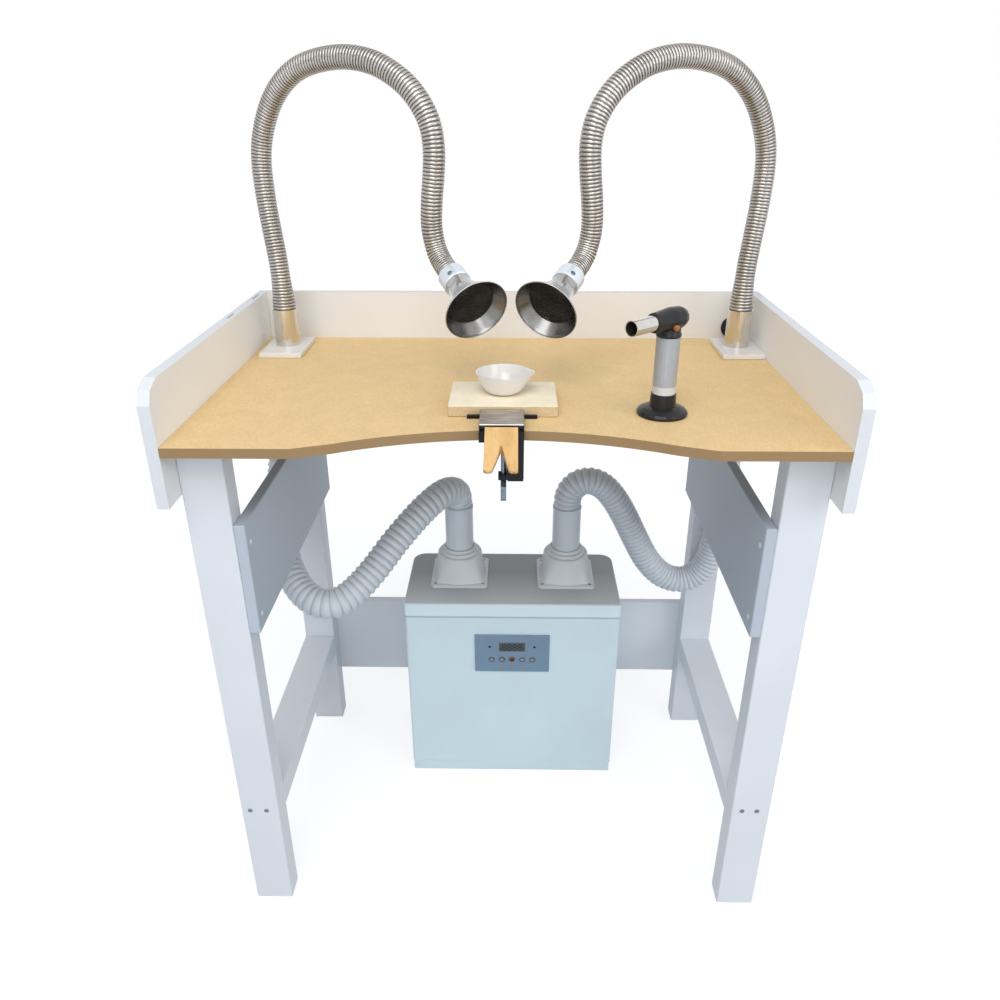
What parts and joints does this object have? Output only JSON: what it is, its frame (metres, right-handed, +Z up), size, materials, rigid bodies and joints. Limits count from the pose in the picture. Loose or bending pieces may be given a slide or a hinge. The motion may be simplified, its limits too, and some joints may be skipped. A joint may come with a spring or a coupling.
{
  "type": "jeweller's workbench with fume extractor",
  "caption": "Jeweller's workbench with a bench pin, soldering board and torch, and a fume extractor with gooseneck suction arms.",
  "frame": {"origin": "on the floor, under the middle of the bench's whole box without its ducts", "axes": "+X to the right, +Y to the back, +Z up"},
  "size_m": [1, 0.6541, 1.4834],
  "materials": {
    "mdf": "smooth sanded fibreboard",
    "white_paint": "white painted board",
    "black_plastic": "satin black",
    "stainless": "spun and polished",
    "white_plastic": "smooth white",
    "zinc_sleeve": "pale zinc",
    "powder_coat": "pale blue-grey powder coat",
    "panel_film": "satin film",
    "smoked_window": "smoked gloss",
    "button_grey": "satin",
    "button_orange": "satin orange",
    "port_plastic": "moulded",
    "duct_pvc": "ribbed flexible plastic",
    "filter_media": "felted",
    "dark_mesh": "blackened mesh",
    "clamp_black": "black paint on iron",
    "anvil_steel": "ground steel",
    "pin_wood": "bare beech",
    "screw_steel": "plated",
    "solder_board": "soft insulating board",
    "porcelain": "white glaze",
    "torch_sleeve": "satin sleeve",
    "torch_chrome": "polished"
  },
  "bodies": {
    "root": {"bench_top": "mdf", "cable_grommet": "black_plastic", "extractor_case": "powder_coat", "extractor_lid": "powder_coat", "control_panel": "panel_film", "display_window": "smoked_window", "blower_housing": "powder_coat", "fan_motor": "screw_steel", "main_filter": "filter_media", "prefilter": "filter_media", "anvil_plate": "anvil_steel", "clamp_body": "clamp_black", "left_side_board": "white_paint", "right_side_board": "white_paint", "back_board": "white_paint", "front_left_leg": "white_paint", "front_right_leg": "white_paint", "rear_left_leg": "white_paint", "rear_right_leg": "white_paint", "left_side_panel": "white_paint", "right_side_panel": "white_paint", "left_stretcher": "white_paint", "right_stretcher": "white_paint", "rear_beam": "white_paint", "left_arm_flange": "white_plastic", "left_arm_tube": "stainless", "left_duct_adapter": "port_plastic", "left_port": "port_plastic", "left_duct": "duct_pvc", "right_arm_flange": "white_plastic", "right_arm_tube": "stainless", "right_duct_adapter": "port_plastic", "right_port": "port_plastic", "right_duct": "duct_pvc"},
    "impeller": {"impeller": "black_plastic"},
    "clamp_pad": {"clamp_pad": "screw_steel"},
    "clamp_screw": {"clamp_screw": "screw_steel"},
    "bench_pin": {"bench_pin": "pin_wood"},
    "soldering_board": {"soldering_board": "solder_board"},
    "dish": {"dish": "porcelain"},
    "torch_trigger": {"torch_trigger": "button_orange"},
    "torch": {"torch_stand": "black_plastic", "torch_body": "torch_sleeve", "torch_head": "black_plastic", "torch_nozzle": "torch_chrome"},
    "power_button": {"power_button": "button_grey"},
    "down_button": {"down_button": "button_grey"},
    "mode_button": {"mode_button": "button_orange"},
    "up_button": {"up_button": "button_grey"},
    "timer_button": {"timer_button": "button_grey"},
    "left_arm": {"left_gooseneck": "stainless"},
    "left_hood": {"left_gooseneck_tip": "stainless", "left_hood_collar": "zinc_sleeve", "left_hood": "stainless", "left_hood_screen": "dark_mesh"},
    "right_arm": {"right_gooseneck": "stainless"},
    "right_hood": {"right_gooseneck_tip": "stainless", "right_hood_collar": "zinc_sleeve", "right_hood": "stainless", "right_hood_screen": "dark_mesh"}
  },
  "joints": [
    {"name": "left_arm_swivel", "type": "hinge", "parent": "root", "child": "left_arm", "pos_m": [-0.425, 0.2035, 1.0467], "axis": [0, 0, 1], "range_deg": [-50, 0]},
    {"name": "left_hood_tilt", "type": "hinge", "parent": "left_arm", "child": "left_hood", "pos_m": [-0.11976, 0.05727, 1.18856], "axis": [0.8689, 0.495, 0], "range_deg": [-20, 20], "deforming": ["left_gooseneck_tip"]},
    {"name": "right_arm_swivel", "type": "hinge", "parent": "root", "child": "right_arm", "pos_m": [0.442, 0.2035, 1.0467], "axis": [0, 0, 1], "range_deg": [0, 11.5]},
    {"name": "right_hood_tilt", "type": "hinge", "parent": "right_arm", "child": "right_hood", "pos_m": [0.13676, 0.05727, 1.18856], "axis": [0.8689, -0.495, 0], "range_deg": [-20, 20], "deforming": ["right_gooseneck_tip"]},
    {"name": "impeller_spin", "type": "hinge", "parent": "root", "child": "impeller", "pos_m": [0.0134, 0.19, 0.068], "axis": [0, 0, 1], "continuous": true},
    {"name": "power_press", "type": "slide", "parent": "root", "child": "power_button", "axis": [0, 1, 0], "range_m": [0, 0.0008], "stiffness_N_per_m": 600},
    {"name": "down_press", "type": "slide", "parent": "root", "child": "down_button", "axis": [0, 1, 0], "range_m": [0, 0.0008], "stiffness_N_per_m": 600},
    {"name": "mode_press", "type": "slide", "parent": "root", "child": "mode_button", "axis": [0, 1, 0], "range_m": [0, 0.0008], "stiffness_N_per_m": 600},
    {"name": "up_press", "type": "slide", "parent": "root", "child": "up_button", "axis": [0, 1, 0], "range_m": [0, 0.0008], "stiffness_N_per_m": 600},
    {"name": "timer_press", "type": "slide", "parent": "root", "child": "timer_button", "axis": [0, 1, 0], "range_m": [0, 0.0008], "stiffness_N_per_m": 600},
    {"name": "clamp_slide", "type": "slide", "parent": "root", "child": "clamp_pad", "axis": [0, 0, -1], "range_m": [0, 0.022]},
    {"name": "clamp_turn", "type": "hinge", "parent": "clamp_pad", "child": "clamp_screw", "pos_m": [-0.0015, -0.2125, 0.9], "axis": [0, 0, 1], "range_deg": [-5, 3965]},
    {"name": "pin_slide", "type": "slide", "parent": "root", "child": "bench_pin", "axis": [0, -0.9336, -0.3584], "range_m": [0, 0.05]},
    {"name": "soldering_board_lift", "type": "slide", "parent": "root", "child": "soldering_board", "axis": [0, 0, 1], "range_m": [0, 0.06]},
    {"name": "dish_lift", "type": "slide", "parent": "soldering_board", "child": "dish", "axis": [0, 0, 1], "range_m": [0, 0.06]},
    {"name": "torch_lift", "type": "slide", "parent": "root", "child": "torch", "axis": [0, 0, 1], "range_m": [0, 0.1]},
    {"name": "torch_trigger_press", "type": "slide", "parent": "torch", "child": "torch_trigger", "axis": [-0.38, 0.925, 0], "range_m": [0, 0.004], "stiffness_N_per_m": 800}
  ],
  "couplings": [
    {"joint": "clamp_turn", "follows": "clamp_slide", "rad_per_m": 3141.6}
  ]
}
